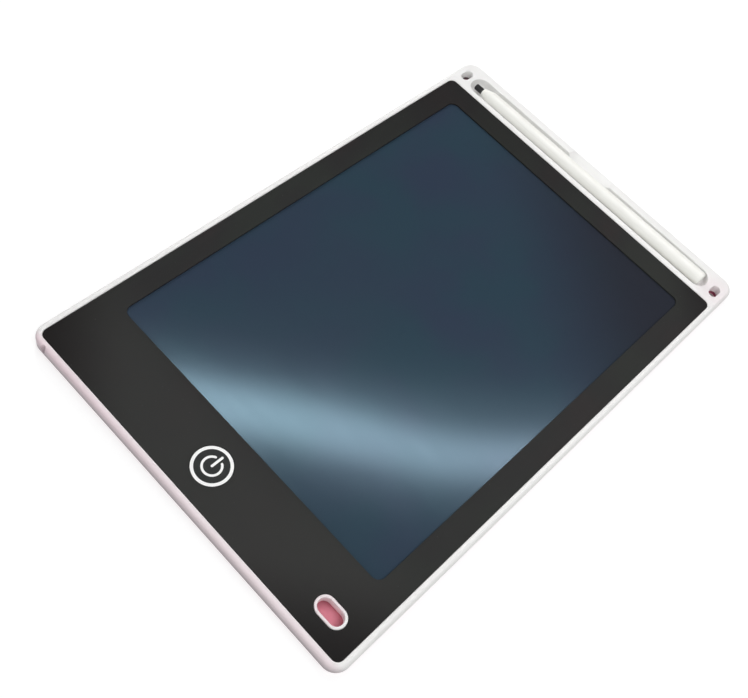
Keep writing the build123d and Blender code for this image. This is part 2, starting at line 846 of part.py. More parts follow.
def door_screw():
    head_top = screw_head_recess + screw_head_height
    screw = disc(screw_head_radius, screw_centre, screw_head_recess, head_top)
    screw += disc(screw_shank_radius, screw_centre, head_top - touch, screw_top)
    reach = screw_head_radius - screw_slot_depth
    for angle in (0, 90):
        slot = block(-reach, reach, -screw_slot_width / 2, screw_slot_width / 2, 0,
                     screw_head_recess + screw_slot_depth)
        screw -= Pos(screw_centre[0], screw_centre[1], 0) * Rot(0, 0, angle) * slot
    return screw


def stylus_barrel():
    cone_start = stylus_nose + nib_length
    cone_end = cone_start + cone_length
    tail = stylus_tail - tail_plug_flange
    barrel = turned([(cone_start, 0), (cone_start, cone_mouth_radius), (cone_end, stylus_radius),
                     (tail, stylus_radius), (tail, 0)])
    shoulder = barrel.edges().filter_by_position(Axis.X, cone_end - touch, cone_end + touch)
    barrel = fillet(shoulder, cone_shoulder_round)
    barrel = fillet(barrel.edges().group_by(Axis.X)[0], cone_mouth_round)
    tang = nib_tang_length + cone_mouth_round
    bore = turned([(cone_start - overrun, 0), (cone_start - overrun, nib_tang_radius),
                   (cone_start + tang, nib_tang_radius), (cone_start + tang, 0)])
    hollow = turned([(cone_end + stylus_bore_front, 0), (cone_end + stylus_bore_front, stylus_bore_radius),
                     (tail + overrun, stylus_bore_radius), (tail + overrun, 0)])
    return laid_in_trough(barrel - bore - hollow)


def stylus_nib():
    seat = stylus_nose + nib_length
    nib = turned([(stylus_nose, 0), (stylus_nose, nib_radius), (seat, nib_radius), (seat, nib_tang_radius),
                  (seat + nib_tang_length, nib_tang_radius), (seat + nib_tang_length, 0)])
    return laid_in_trough(fillet(nib.edges().group_by(Axis.X)[0], nib_tip_round))


def stylus_tail_plug():
    seat = stylus_tail - tail_plug_flange
    rim = stylus_radius - tail_seam_step
    plug = turned([(seat - tail_plug_depth, 0), (seat - tail_plug_depth, stylus_bore_radius),
                   (seat, stylus_bore_radius), (seat, rim), (stylus_tail, rim), (stylus_tail, 0)])
    return laid_in_trough(fillet(plug.edges().group_by(Axis.X)[-1], tail_edge_round))


capacitor_row = (key_centre[0] + switch_side, board_foot + board_pin_inset)
resistor_row = (capacitor_row[0], capacitor_row[1] + small_part_pitch)
inductor_centre = (key_centre[0] + inductor_side_offset, key_centre[1])

parts = {
    "front_frame": front_frame(),
    "back_cover": back_cover(),
    "bezel_panel": bezel_panel(),
    "bezel_tape": bezel_tape(),
    "screen_front_film": screen_sheet(0, front_film_under, deck_top),
    "liquid_crystal_layer": screen_sheet(crystal_inset, crystal_under, front_film_under),
    "screen_back_film": screen_sheet(0, back_film_under, crystal_under),
    "screen_tape": screen_tape(),
    "flex_tail": flex_tail(),
    "circuit_board": circuit_board(),
    "driver_chip": driver_chip(),
    "chip_legs": chip_legs(),
    "capacitors": small_parts(capacitor_count, capacitor_length, capacitor_width, capacitor_height,
                              capacitor_row),
    "resistors": small_parts(resistor_count, resistor_length, resistor_width, resistor_height,
                             resistor_row),
    "boost_inductor": slab(inductor_side, inductor_side, inductor_corner, inductor_centre, board_top,
                           board_top + inductor_height),
    "tact_switch_body": tact_switch_body(),
    "tact_dome": tact_dome(),
    "tact_plunger": tact_plunger(),
    "erase_button": erase_button(),
    "button_ring_print": button_ring_print(),
    "button_mark_print": button_mark_print(),
    "lock_slider": lock_slider(),
    "slide_switch_body": slide_switch_body(),
    "slide_switch_knob": slide_switch_knob(),
    "coin_cell": coin_cell(),
    "top_contact": top_contact(),
    "side_contact": side_contact(),
    "battery_door": battery_door(),
    "door_screw": door_screw(),
    "stylus_barrel": stylus_barrel(),
    "stylus_nib": stylus_nib(),
    "stylus_tail_plug": stylus_tail_plug(),
}

for name, shape in parts.items():
    if isinstance(shape, list):
        shape = Compound(children=shape)
    export_step(shape, f"parts/{name}.step")
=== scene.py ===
import json

import bpy
from mathutils import Matrix, Vector


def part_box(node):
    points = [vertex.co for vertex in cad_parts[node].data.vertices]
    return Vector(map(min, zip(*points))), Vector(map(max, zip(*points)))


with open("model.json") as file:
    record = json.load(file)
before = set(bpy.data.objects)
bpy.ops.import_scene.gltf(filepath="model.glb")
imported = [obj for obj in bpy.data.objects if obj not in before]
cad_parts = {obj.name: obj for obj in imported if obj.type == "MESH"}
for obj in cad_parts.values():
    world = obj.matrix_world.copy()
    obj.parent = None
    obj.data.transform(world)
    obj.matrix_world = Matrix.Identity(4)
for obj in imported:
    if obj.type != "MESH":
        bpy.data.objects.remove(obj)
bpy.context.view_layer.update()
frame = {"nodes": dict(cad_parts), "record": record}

# Camera: held above the tablet's right front corner at arm's length and rolled, so that the tablet lies
# aslant in the picture with its erase button at the lower left and its trough at the upper right.
camera_place = Vector((0.0809, -0.1887, 0.2925))
camera_forward = Vector((-0.2317, 0.4812, -0.8454)).normalized()
camera_top = Vector((-0.6859, 0.5355, 0.4928))
camera_lens = 47.36
camera_nearest = 0.01
camera = bpy.data.objects.new("camera", bpy.data.cameras.new("camera"))
bpy.context.scene.collection.objects.link(camera)
camera_right = camera_forward.cross(camera_top).normalized()
camera_up = camera_right.cross(camera_forward)
camera_turn = Matrix((camera_right, camera_up, -camera_forward)).transposed().to_4x4()
camera.matrix_world = Matrix.Translation(camera_place) @ camera_turn
camera.data.lens = camera_lens
camera.data.clip_start = camera_nearest
bpy.context.scene.camera = camera
bpy.context.scene.view_settings.view_transform = "Standard"


# Back cover: a 0.8 mm plate of pink ABS with ribs, snap hooks and two collars moulded on its inside. Its
# outside has the fine dull grain of a spark-eroded mould, polished a little where the tablet slides on a
# table. Round and inside its lanyard eyes it is painted with shade, dark grey in the left and crimson in
# the right.
def tone(red, green, blue):
    """A colour read in steps of 0 to 255, as the linear colour that a shader takes."""
    steps = (value / 255 for value in (red, green, blue))
    return tuple(s / 12.92 if s <= 0.04045 else ((s + 0.055) / 1.055) ** 2.4 for s in steps) + (1.0,)


class Field:
    """A number that varies over a surface. Arithmetic on it adds Math nodes to its finish."""

    def __init__(self, finish, socket):
        self.finish = finish
        self.socket = socket

    def math(self, operation, *numbers):
        return self.finish.node("ShaderNodeMath", {"operation": operation}, dict(enumerate(numbers)))

    def __add__(self, other):
        return self.math("ADD", self, other)

    def __radd__(self, other):
        return self.math("ADD", other, self)

    def __sub__(self, other):
        return self.math("SUBTRACT", self, other)

    def __rsub__(self, other):
        return self.math("SUBTRACT", other, self)

    def __neg__(self):
        return self.math("SUBTRACT", 0.0, self)

    def __mul__(self, other):
        return self.math("MULTIPLY", self, other)

    def __rmul__(self, other):
        return self.math("MULTIPLY", other, self)

    def __truediv__(self, other):
        return self.math("DIVIDE", self, other)

    def __lt__(self, other):
        return self.math("LESS_THAN", self, other)

    def __gt__(self, other):
        return self.math("GREATER_THAN", self, other)

    def __abs__(self):
        return self.math("ABSOLUTE", self)

    def root(self):
        return self.math("SQRT", self)

    def least(self, other):
        return self.math("MINIMUM", self, other)

    def most(self, other):
        return self.math("MAXIMUM", self, other)

    def cycle(self, length):
        """The value's place within steps of this length, from 0 to 1."""
        return self.math("FRACT", self / length)

    def ripple(self, length):
        """0 in the middle of each step of this length, rising to 0.5 at its ends."""
        return abs(self.cycle(length) - 0.5)


class Finish:
    """One finish of the tablet, made of nodes round a principled shader."""

    def __init__(self, name, constants):
        self.material = bpy.data.materials.new(name)
        self.material.use_nodes = True
        self.tree = self.material.node_tree
        self.shader = self.tree.nodes["Principled BSDF"]
        for socket, value in constants.items():
            self.shader.inputs[socket].default_value = value

    def node(self, kind, settings, sockets, output=0):
        """A node with its settings made first and then its sockets, each a number, a colour or a link."""
        made = self.tree.nodes.new(kind)
        for setting, value in settings.items():
            setattr(made, setting, value)
        for socket, value in sockets.items():
            if isinstance(value, Field):
                self.tree.links.new(value.socket, made.inputs[socket])
            else:
                made.inputs[socket].default_value = value
        return Field(self, made.outputs[output])

    def rays(self, output):
        """What kind of ray sees the surface, or how far it has come."""
        return self.node("ShaderNodeLightPath", {}, {}, output)

    def place(self):
        """Where a point lies on the tablet, in metres."""
        return self.node("ShaderNodeTexCoord", {}, {}, "Object")

    def axes(self):
        place = self.place()
        return [self.node("ShaderNodeSeparateXYZ", {}, {0: place}, axis) for axis in range(3)]

    def noise(self, size, detail, stretch=(1.0, 1.0, 1.0), turn=0.0):
        """Soft mottling with spots about this large, in metres, drawn out along an axis by stretch."""
        scale = tuple(1.0 / (size * factor) for factor in stretch)
        mapping = {0: self.place(), "Rotation": (0, 0, turn), "Scale": scale}
        place = self.node("ShaderNodeMapping", {}, mapping)
        return self.node("ShaderNodeTexNoise", {}, {0: place, "Scale": 1.0, "Detail": detail})

    def ramp(self, field, low, high):
        """0 where the field is at or under low, 1 at or over high, and smooth between."""
        sockets = {0: field, 1: low, 2: high, 3: 0.0, 4: 1.0}
        return self.node("ShaderNodeMapRange", {"interpolation_type": "SMOOTHSTEP"}, sockets)

    def mix(self, share, first, second):
        """The first colour where share is 0, and the second where it is 1."""
        return self.node("ShaderNodeMix", {"data_type": "RGBA"}, {0: share, 6: first, 7: second}, 2)

    def bump(self, height, depth):
        """Feeds the shader's normal with a relief this deep in metres."""
        relief = self.node("ShaderNodeBump", {}, {"Strength": 1.0, "Distance": depth, "Height": height})
        self.feed("Normal", relief)

    def feed(self, socket, field):
        self.tree.links.new(field.socket, self.shader.inputs[socket])

    def edge_distance(self, half_width, half_length, corner):
        """How far outside a rounded rectangle a point lies, in metres, below 0 inside it."""
        x, y = self.axes()[:2]
        across = (abs(x) - (half_width - corner)).most(0.0)
        along = (abs(y) - (half_length - corner)).most(0.0)
        return (across * across + along * along).root() - corner

    def spot_distance(self, spot):
        """How far across the tablet a point lies from a spot, in metres."""
        x, y = self.axes()[:2]
        across = x - spot.x
        along = y - spot.y
        return (across * across + along * along).root()

    def dress(self, *names):
        for name in names:
            for slot in frame["nodes"][name].material_slots:
                slot.material = self.material


case_low, case_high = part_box("front_frame")
case_corner = 0.0055
case_outline = ((case_high.x - case_low.x) / 2, (case_high.y - case_low.y) / 2, case_corner)
mounts = frame["record"]["mounts"]
eye_places = [Vector(mount["pos_m"]) for mount in mounts if mount["name"].startswith("lanyard_eye")]
eye_reach = 0.0045
painted_eye_shade_tones = (tone(92, 88, 90), tone(150, 62, 92))
pink_tone = tone(240, 158, 176)
pink_pale_tone = tone(247, 174, 190)
pink_worn_tone = tone(248, 188, 202)
pink_cloud_size = 0.03
scratch_size = 0.0004
rubbed_edge_range = (-0.0012, -0.0002)
plastic_ior = 1.5
outside_level = 0.0001
inside_level = 0.0002


def pink_plastic(name, grain_size, roughness):
    """Moulded pink ABS, given with its colour, which isn't fed to it yet."""
    finish = Finish(name, {"IOR": plastic_ior})
    grain = finish.noise(grain_size, detail=3.0)
    cloud = finish.noise(pink_cloud_size, detail=3.0)
    scratches = finish.noise(scratch_size, detail=1.0, stretch=(60.0, 1.0, 1.0), turn=0.6)
    hairline = finish.ramp(scratches, 0.68, 0.74)
    edge = finish.ramp(finish.edge_distance(*case_outline), *rubbed_edge_range)
    outside = finish.axes()[2] < outside_level
    wear = (hairline * 0.35 * outside + edge * 0.5 * outside).least(1.0)
    colour = finish.mix(wear, finish.mix(cloud, pink_tone, pink_pale_tone), pink_worn_tone)
    finish.feed("Roughness", roughness + grain * 0.12 - wear * 0.12)
    finish.bump(grain + hairline * outside * -0.4, depth=0.00002)
    return finish, colour


cover_finish, cover_colour = pink_plastic("pink_cover_abs", grain_size=0.00035, roughness=0.42)
cover_inside = cover_finish.axes()[2] > inside_level
# Painted shade: the inside round and within each lanyard eye is darkened, grey for the left, crimson for
# the right.
for eye_place, painted_eye_shade in zip(eye_places, painted_eye_shade_tones):
    in_eye = (cover_finish.spot_distance(eye_place) < eye_reach) * cover_inside
    cover_colour = cover_finish.mix(in_eye * 0.9, cover_colour, painted_eye_shade)
cover_finish.feed("Base Color", cover_colour)
cover_finish.dress("back_cover")

# Battery door: a lid of the same pink ABS with a finer grain, held by one screw and two pegs. The screw is
# a nickel-plated cross-head, turned on its face.
door_finish, door_colour = pink_plastic("pink_door_abs", grain_size=0.00028, roughness=0.4)
door_finish.feed("Base Color", door_colour)
door_finish.dress("battery_door")

nickel_tone = tone(205, 203, 198)
metal_stain_size = 0.004


def scaled(colour, factor):
    """A colour made this much lighter or darker."""
    return tuple(min(1.0, value * factor) for value in colour[:3]) + (1.0,)


def metal(name, colour, roughness, line_size, stretch=(1.0, 1.0, 1.0)):
    """Bare or plated metal, drawn or rolled along one axis."""
    finish = Finish(name, {"Metallic": 1.0})
    lines = finish.noise(line_size, detail=3.0, stretch=stretch)
    stain = finish.noise(metal_stain_size, detail=3.0)
    finish.feed("Base Color", finish.mix(stain, colour, scaled(colour, 0.82)))
    finish.feed("Roughness", roughness + lines * 0.16)
    finish.bump(lines, depth=0.000004)
    return finish


metal("nickel_plate", nickel_tone, 0.2, line_size=0.00012, stretch=(6.0, 1.0, 1.0)).dress("door_screw")

# Coin cell: a drawn steel can with a crimped rim and a smaller cap, plated with nickel. Turning marks run
# round it, and the can's flat carries a stamped plus sign.
cell_low, cell_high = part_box("coin_cell")
cell_middle = (cell_low + cell_high) / 2
cell_tone = tone(214, 213, 210)
cell_stain_tone = tone(168, 166, 160)
cell_stain_size = 0.005
cell_ring_pitch = 0.0003
plus_half_width = 0.0004
plus_reach = 0.0022
plus_level = cell_low.z + 0.0001
cell_finish = Finish("cell_nickel", {"Metallic": 1.0})
cell_x, cell_y, cell_z = cell_finish.axes()
off_x = abs(cell_x - cell_middle.x)
off_y = abs(cell_y - cell_middle.y)
rings = cell_finish.ramp(cell_finish.spot_distance(cell_middle).ripple(cell_ring_pitch), 0.1, 0.4)
upright_bar = (off_x < plus_half_width) * (off_y < plus_reach)
level_bar = (off_y < plus_half_width) * (off_x < plus_reach)
plus_sign = upright_bar.most(level_bar) * (cell_z < plus_level)
cell_stain = cell_finish.noise(cell_stain_size, detail=4.0)
cell_shade = cell_stain * 0.5 + plus_sign * 0.3
cell_finish.feed("Base Color", cell_finish.mix(cell_shade, cell_tone, cell_stain_tone))
cell_finish.feed("Roughness", 0.2 + rings * 0.1 + cell_stain * 0.12 + plus_sign * 0.2)
cell_finish.bump(rings * 0.2 - plus_sign, depth=0.00002)
cell_finish.dress("coin_cell")

# Battery contacts: strips punched from phosphor bronze, bent once and plated thinly, so the warm bronze
# shows at the bends. They are soldered to the board's end.
bronze_tone = tone(214, 184, 132)
bronze_finish = metal("phosphor_bronze", bronze_tone, 0.26, line_size=0.0001, stretch=(12.0, 1.0, 1.0))
bronze_finish.dress("top_contact", "side_contact")

# Circuit board: glass-fibre board under green solder mask. Copper tracks show as paler green lines beneath
# the mask, the weave as a faint check, and its cut edge is pale bare fibre.
board_low, board_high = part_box("circuit_board")
board_middle = (board_low + board_high) / 2
mask_tone = tone(16, 84, 48)
mask_on_track_tone = tone(38, 122, 70)
bare_fibre_tone = tone(176, 172, 128)
mask_thickness = 0.00003
long_track_pitch = 0.0013
cross_track_pitch = 0.0052
weave_pitch = 0.0004
board_finish = Finish("green_solder_mask", {"IOR": plastic_ior})
board_x, board_y, board_z = board_finish.axes()
wander = board_finish.noise(size=0.006, detail=1.0)
long_tracks = (board_y + wander * 0.001).ripple(long_track_pitch) < 0.16
cross_tracks = (board_x + wander * 0.0006).ripple(cross_track_pitch) < 0.05
routed = board_finish.ramp(board_finish.noise(size=0.007, detail=0.0), 0.42, 0.46)
tracks = long_tracks.most(cross_tracks) * routed
weave = board_finish.ramp(board_x.ripple(weave_pitch) + board_y.ripple(weave_pitch), 0.2, 0.8)
cut_edge = abs(board_z - board_middle.z) < board_high.z - board_middle.z - mask_thickness
mask_colour = board_finish.mix(tracks, mask_tone, mask_on_track_tone)
board_finish.feed("Base Color", board_finish.mix(cut_edge, mask_colour, bare_fibre_tone))
board_finish.feed("Roughness", 0.28 + weave * 0.08 + cut_edge * 0.4)
board_finish.bump(tracks + weave * 0.15, depth=0.00002)
board_finish.dress("circuit_board")

# Chip, coil and switch housings: black epoxy, ferrite and nylon, moulded dull and soldered on the board. A
# small round dimple marks the chip's first leg.
black_cloud_size = 0.008
chip_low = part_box("driver_chip")[0]
dimple_place = chip_low + Vector((0.0006, 0.0006, 0.0))
dimple_radius = 0.00025


def black_moulding(name, colour, roughness, grain_size):
    """Dull black moulded plastic, given with its grain."""
    finish = Finish(name, {"IOR": plastic_ior})
    grain = finish.noise(grain_size, detail=3.0)
    cloud = finish.noise(black_cloud_size, detail=2.0)
    finish.feed("Base Color", finish.mix(cloud, colour, scaled(colour, 1.5)))
    finish.feed("Roughness", roughness + grain * 0.14)
    return finish, grain


chip_finish, chip_grain = black_moulding("chip_epoxy", tone(34, 34, 36), 0.5, grain_size=0.00008)
dimple = chip_finish.spot_distance(dimple_place) < dimple_radius
chip_finish.bump(chip_grain * 0.2 - dimple, depth=0.00003)
chip_finish.dress("driver_chip")

ferrite_finish, ferrite_grain = black_moulding("coil_ferrite", tone(58, 57, 56), 0.55, grain_size=0.00015)
ferrite_finish.bump(ferrite_grain, depth=0.00002)
ferrite_finish.dress("boost_inductor")

nylon_finish, nylon_grain = black_moulding("switch_nylon", tone(30, 30, 31), 0.42, grain_size=0.0001)
nylon_finish.bump(nylon_grain, depth=0.00001)
nylon_finish.dress("tact_switch_body", "slide_switch_body", "slide_switch_knob", "tact_plunger")

# Chip legs: strips of tinned copper that come out of the chip's long sides, lie flat on their pads and are
# soldered there.
tin_tone = tone(208, 208, 206)
metal("tinned_copper", tin_tone, 0.24, line_size=0.00008, stretch=(1.0, 4.0, 1.0)).dress("chip_legs")

# Capacitors and resistors: fired ceramic blocks with tinned ends, tan for the capacitors and black-topped
# for the resistors, set in rows along the board and soldered by their ends.
tinned_end_tone = tone(205, 205, 203)
ceramic_grain_size = 0.0002
block_pitch = 0.0026


def end_capped(name, body_tone, node_name, length, end):
    """A row of small blocks of this length whose ends are dipped in tin."""
    finish = Finish(name, {"IOR": plastic_ior})
    row_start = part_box(node_name)[0]
    along = (finish.axes()[0] - row_start.x).cycle(block_pitch) * block_pitch
    tin = (along < end).most(along > length - end)
    fired = finish.noise(ceramic_grain_size, detail=3.0)
    body = finish.mix(fired, body_tone, scaled(body_tone, 1.3))
    finish.feed("Base Color", finish.mix(tin, body, tinned_end_tone))
    finish.feed("Metallic", tin)
    finish.feed("Roughness", 0.5 - tin * 0.22 + fired * 0.1)
    finish.bump(fired + tin * 0.6, depth=0.00001)
    finish.dress(node_name)


end_capped("capacitor_ceramic", tone(172, 138, 100), "capacitors", length=0.0016, end=0.0003)
end_capped("resistor_ceramic", tone(30, 30, 32), "resistors", length=0.0012, end=0.00022)

# Snap dome: a shallow cap of polished stainless spring sheet under the button. It is punched and pressed
# from strip, and lies loose in the switch's housing.
metal("dome_stainless", tone(220, 220, 218), 0.16, line_size=0.00006).dress("tact_dome")

# Lock slider: the pink ABS pad seen through the oblong window, moulded smooth inside and grooved for the
# thumb behind. Light and shade are painted on its seen face: paler where the light falls in and a deep
# crimson painted shade at the window's far end.
slider_low, slider_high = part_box("lock_slider")
slider_middle = (slider_low + slider_high) / 2
slider_shaded_tone = tone(146, 72, 88)
slider_lit_tone = tone(230, 144, 160)
slider_lit_range = (-0.005, 0.003)
slider_finish = pink_plastic("pink_slider_abs", grain_size=0.0003, roughness=0.34)[0]
slider_x, slider_y = slider_finish.axes()[:2]
# Painted light and shade: paler towards the right and near end, deep crimson towards the far left end.
towards_light = slider_x - slider_middle.x + (slider_middle.y - slider_y) * 0.8
lit = slider_finish.ramp(towards_light, *slider_lit_range)
slider_finish.feed("Base Color", slider_finish.mix(lit, slider_shaded_tone, slider_lit_tone))
slider_finish.dress("lock_slider")

# Front frame: one white ABS moulding that makes the rim, the trough, the lanyard eyes and the deck under
# the screen. Its satin face has a very fine grain. Pink reflected light is painted on it along the front,
# most at the left, round the right eye and round the lock window, and painted shade greys its outer wall
# low down by the seam, most at the front.
white_tone = tone(243, 242, 241)
white_shade_tone = tone(236, 236, 234)
pink_bounce_tone = tone(232, 200, 211)
wall_shade_tone = tone(168, 152, 159)
white_grain_size = 0.0003
white_cloud_size = 0.025
rim_level = 0.0042
wall_shade_range = (0.0009, 0.0048)
front_side_range = (case_low.y + 0.0005, case_low.y + 0.004)
handled_edge_range = (-0.0009, -0.0003)
outer_wall_range = (-0.002, -0.0006)
eye_bounce_range = (0.002, 0.011)
lock_bounce_range = (0.006, 0.009)
white_finish = Finish("white_abs", {"IOR": plastic_ior})
white_x, white_y, white_z = white_finish.axes()
white_grain = white_finish.noise(white_grain_size, detail=3.0)
white_cloud = white_finish.noise(white_cloud_size, detail=4.0)
low_on_wall = 1.0 - white_finish.ramp(white_z, *wall_shade_range)
front_side = 1.0 - white_finish.ramp(white_y, *front_side_range)
white_edge = white_finish.edge_distance(*case_outline)
handled = white_finish.ramp(white_edge, *handled_edge_range) * (white_z > rim_level)
outer_wall = white_finish.ramp(white_edge, *outer_wall_range)
eye_bounce = 1.0 - white_finish.ramp(white_finish.spot_distance(eye_places[1]), *eye_bounce_range)
lock_bounce = 1.0 - white_finish.ramp(white_finish.spot_distance(slider_middle), *lock_bounce_range)
left_bounce = 1.0 - white_finish.ramp(white_x, case_low.x, case_high.x * 0.3)
# Painted pink reflected light along the front, most at the left, round the right eye and round the lock
# window.
painted_bounce = front_side * (0.45 + left_bounce * 0.2) + eye_bounce * 0.22 + lock_bounce * 0.35
# Painted shade: the outer wall is greyed low down near the seam, most at the front.
painted_wall_shade = low_on_wall * outer_wall * (0.42 + front_side * 0.58)
plain_white = white_finish.mix(white_cloud, white_tone, white_shade_tone)
bounce_lit_white = white_finish.mix(painted_bounce.least(1.0), plain_white, pink_bounce_tone)
white_finish.feed("Base Color", white_finish.mix(painted_wall_shade, bounce_lit_white, wall_shade_tone))
white_finish.feed("Roughness", 0.3 + white_grain * 0.12 - handled * 0.1)
white_finish.bump(white_grain, depth=0.000006)
white_finish.dress("front_frame")

# Screen: two clear films with a cholesteric liquid crystal between them, taped to the deck with a dark film
# behind. Through the lightly frosted front film it looks deep navy, a little mottled by the crystal's own
# texture, and a painted shade makes it nearly black towards its far right corner.
navy_tone = tone(48, 62, 75)
navy_violet_tone = tone(48, 58, 75)
navy_teal_tone = tone(44, 63, 75)
navy_shaded_tone = tone(42, 43, 51)
navy_fleck_tone = tone(58, 74, 88)
film_tint = (0.55, 0.84, 1.0, 1.0)
far_corner_range = (0.045, 0.115)
screen_finish = Finish("navy_screen_film", {"IOR": 1.55, "Specular Tint": film_tint})
drift = screen_finish.noise(size=0.035, detail=2.0)
drift_wide = screen_finish.noise(size=0.06, detail=1.0, stretch=(1.0, 1.6, 1.0), turn=0.9)
fleck = screen_finish.noise(size=0.0004, detail=2.0)
frost = screen_finish.noise(size=0.00025, detail=2.0)
smear = screen_finish.noise(size=0.004, detail=3.0, stretch=(5.0, 1.0, 1.0), turn=0.5)
deep = screen_finish.mix(screen_finish.ramp(drift, 0.35, 0.65), navy_violet_tone, navy_teal_tone)
settled = screen_finish.mix(screen_finish.ramp(drift_wide, 0.3, 0.7) * 0.6, deep, navy_tone)
screen_x, screen_y = screen_finish.axes()[:2]
# Painted shade: the screen darkens to near black towards its far right corner.
far_corner_shade = screen_finish.ramp(screen_x * 0.7 + screen_y, *far_corner_range)
faded = screen_finish.mix(far_corner_shade, settled, navy_shaded_tone)
screen_finish.feed("Base Color", screen_finish.mix(fleck * 0.12, faded, navy_fleck_tone))
screen_finish.feed("Roughness", 0.115 + smear * 0.04)
screen_finish.bump(frost, depth=0.0000003)
screen_finish.dress("screen_front_film")

crystal_tone = tone(22, 38, 62)
crystal_fleck_tone = tone(38, 70, 84)
crystal_finish = Finish("liquid_crystal", {"IOR": 1.6, "Roughness": 0.2})
crystal_fleck = crystal_finish.noise(size=0.0003, detail=4.0)
crystal_finish.feed("Base Color", crystal_finish.mix(crystal_fleck, crystal_tone, crystal_fleck_tone))
crystal_finish.dress("liquid_crystal_layer")

backing_tone = tone(20, 20, 22)
backing_finish, backing_grain = black_moulding("black_backing_film", backing_tone, 0.3, grain_size=0.0002)
backing_finish.bump(backing_grain, depth=0.000004)
backing_finish.dress("screen_back_film")


# Tapes: double-sided sheets cut to frames. The one under the screen is clear yellowish acrylic, and the
# one under the bezel is black foam with fine cells at its cut edge.
def tape(name, colour, cell_size):
    """Tape of this colour, mottled by cells or ripples of this size."""
    finish = Finish(name, {"IOR": 1.45})
    cells = finish.noise(cell_size, detail=3.0)
    finish.feed("Base Color", finish.mix(cells, colour, scaled(colour, 1.25)))
    finish.feed("Roughness", 0.55 + cells * 0.25)
    finish.bump(cells, depth=0.00002)
    return finish


tape("acrylic_tape", tone(214, 206, 178), cell_size=0.0006).dress("screen_tape")
tape("black_foam_tape", tone(22, 22, 23), cell_size=0.0002).dress("bezel_tape")

# Flex tail: amber polyimide film with copper tracks along it, pressed on the screen's ledge at one end and
# soldered to the board's edge at the other.
amber_tone = tone(196, 112, 34)
amber_pale_tone = tone(214, 134, 52)
copper_under_film_tone = tone(170, 84, 30)
tail_track_pitch = 0.001
tail_cloud_size = 0.002
tail_finish = Finish("amber_polyimide", {"IOR": 1.6})
copper = tail_finish.axes()[0].ripple(tail_track_pitch) < 0.26
film_cloud = tail_finish.noise(tail_cloud_size, detail=2.0)
amber = tail_finish.mix(film_cloud, amber_tone, amber_pale_tone)
tail_finish.feed("Base Color", tail_finish.mix(copper, amber, copper_under_film_tone))
tail_finish.feed("Roughness", 0.24 + film_cloud * 0.1)
tail_finish.bump(copper, depth=0.00002)
tail_finish.dress("flex_tail")

# Bezel panel: a black polycarbonate sheet, printed behind and hard-coated dull in front, die-cut round the
# window, the button and the lock window. Painted light makes it a shade paler along the front and right,
# painted shade deepens its corners and far left, fingers leave faint smears and a few specks of dust lie on
# it.
black_tone = tone(45, 45, 45)
black_warm_tone = tone(48, 45, 45)
black_green_tone = tone(46, 48, 46)
black_shaded_tone = tone(33, 31, 31)
black_lit_tone = tone(55, 55, 54)
dust_tone = tone(92, 92, 92)
corner_range = (0.125, 0.165)
far_left_range = (0.05, 0.16)
front_range = (-0.095, -0.065)
right_range = (0.0, 0.06)
bezel_finish = Finish("black_hardcoat_sheet", {"IOR": 1.2})
bezel_x, bezel_y = bezel_finish.axes()[:2]
# Painted shade deepens the corners and the far left, and painted light makes it paler along the front and
# right.
bezel_corner_shade = bezel_finish.ramp(abs(bezel_x) * 0.8 + abs(bezel_y), *corner_range)
bezel_far_shade = bezel_finish.ramp(bezel_y - bezel_x, *far_left_range) * 0.5
bezel_front_light = 1.0 - bezel_finish.ramp(bezel_y, *front_range)
bezel_painted_light = bezel_front_light * 0.8 + bezel_finish.ramp(bezel_x, *right_range) * 0.3
bezel_grain = bezel_finish.noise(size=0.00022, detail=3.0)
bezel_hue = bezel_finish.noise(size=0.03, detail=1.0)
bezel_smear = bezel_finish.noise(size=0.006, detail=3.0, stretch=(3.0, 1.0, 1.0), turn=1.1)
greasy = bezel_finish.ramp(bezel_smear, 0.5, 0.7)
bezel_dust = bezel_finish.ramp(bezel_finish.noise(size=0.0007, detail=0.0), 0.83, 0.86)
green_share = bezel_finish.ramp(bezel_hue, 0.45, 0.62)
warm_share = 1.0 - bezel_finish.ramp(bezel_hue, 0.35, 0.5)
bezel_cool = bezel_finish.mix(green_share, black_tone, black_green_tone)
bezel_warm = bezel_finish.mix(warm_share, bezel_cool, black_warm_tone)
bezel_lit = bezel_finish.mix(bezel_painted_light.least(0.9), bezel_warm, black_lit_tone)
bezel_black = bezel_finish.mix(bezel_corner_shade.most(bezel_far_shade), bezel_lit, black_shaded_tone)
bezel_finish.feed("Base Color", bezel_finish.mix(bezel_dust * 0.2, bezel_black, dust_tone))
bezel_finish.feed("Roughness", 0.5 + bezel_grain * 0.08 - greasy * 0.05)
bezel_finish.bump(bezel_grain, depth=0.000008)
bezel_finish.dress("bezel_panel")

# Erase button: a flat black ABS key that fills the round hole in the bezel, with a dull face a shade
# greener than the sheet. Its ring and mark are printed once with white ink.
key_tone = tone(29, 32, 31)
key_pale_tone = tone(33, 36, 35)
key_finish = Finish("black_key_abs", {"IOR": plastic_ior})
key_grain = key_finish.noise(size=0.00025, detail=3.0)
key_cloud = key_finish.noise(size=0.004, detail=2.0)
key_polish = key_finish.ramp(key_cloud, 0.5, 0.8)
key_finish.feed("Base Color", key_finish.mix(key_cloud, key_tone, key_pale_tone))
key_finish.feed("Roughness", 0.44 + key_grain * 0.1 - key_polish * 0.06)
key_finish.bump(key_grain, depth=0.00001)
key_finish.dress("erase_button")

ink_tone = tone(248, 248, 247)
ink_thin_tone = tone(196, 197, 196)
ink_finish = Finish("white_ink", {"IOR": plastic_ior})
ink_mesh = ink_finish.noise(size=0.00018, detail=1.0)
ink_thin = ink_finish.ramp(ink_finish.noise(size=0.0009, detail=3.0), 0.66, 0.8)
ink_finish.feed("Base Color", ink_finish.mix(ink_thin * 0.3, ink_tone, ink_thin_tone))
ink_finish.feed("Roughness", 0.42 + ink_mesh * 0.15)
ink_finish.bump(ink_mesh, depth=0.000006)
ink_finish.dress("button_ring_print", "button_mark_print")

